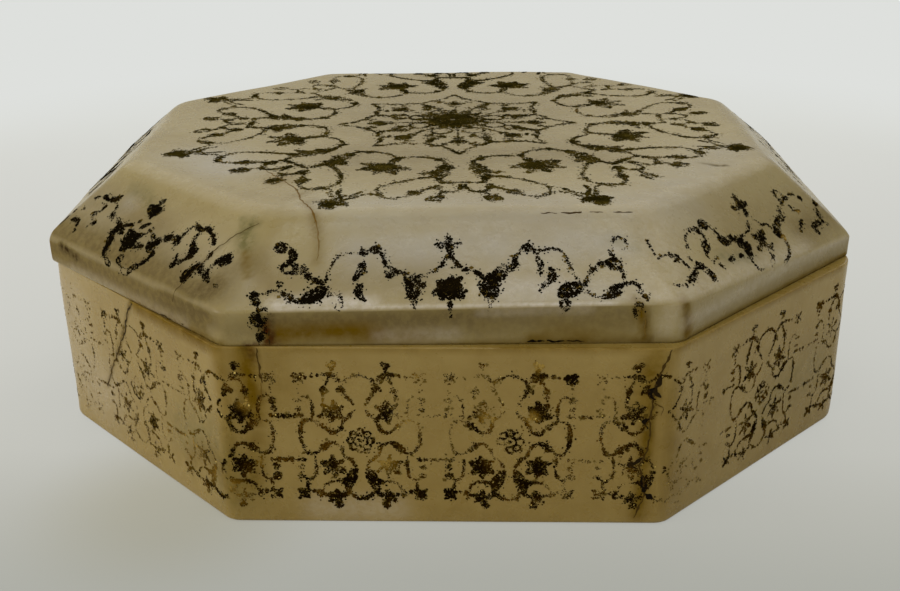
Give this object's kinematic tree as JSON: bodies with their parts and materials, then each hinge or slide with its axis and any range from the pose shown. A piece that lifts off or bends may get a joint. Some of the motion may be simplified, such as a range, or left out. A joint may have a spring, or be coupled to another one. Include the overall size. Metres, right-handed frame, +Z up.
{
  "type": "lidded jade box",
  "caption": "Octagonal carved pale jade box with a bevelled lift-off lid and worn dark and gold arabesque ornament laid on the stone.",
  "frame": {"origin": "centre of the base's flat underside", "axes": "+X to the right along the box's width, +Y to the back, +Z up, in the direction the lid lifts"},
  "size_m": [0.1413, 0.131, 0.0466],
  "materials": {
    "base_jade": "polished nephrite, slightly translucent, cloudy, with brown stains and cracks",
    "lid_jade": "polished nephrite, slightly translucent, cloudy, with brown stains and cracks",
    "ornament": "worn dark size with remains of gilding, dull with metallic glints"
  },
  "bodies": {
    "base": {"base": "base_jade", "wall_front": "ornament", "wall_front_right": "ornament", "wall_right": "ornament", "wall_back_right": "ornament", "wall_back": "ornament", "wall_back_left": "ornament", "wall_left": "ornament", "wall_front_left": "ornament"},
    "lid": {"lid": "lid_jade", "lid_rosette": "ornament", "lid_star": "ornament", "lid_lilies": "ornament", "lid_arches": "ornament", "lid_vines": "ornament", "facet_front": "ornament", "facet_front_right": "ornament", "facet_right": "ornament", "facet_back_right": "ornament", "facet_back": "ornament", "facet_back_left": "ornament", "facet_left": "ornament", "facet_front_left": "ornament"}
  },
  "joints": [
    {"name": "lid_lift", "type": "slide", "parent": "base", "child": "lid", "axis": [0, 0, 1], "range_m": [0, 0.06]}
  ]
}
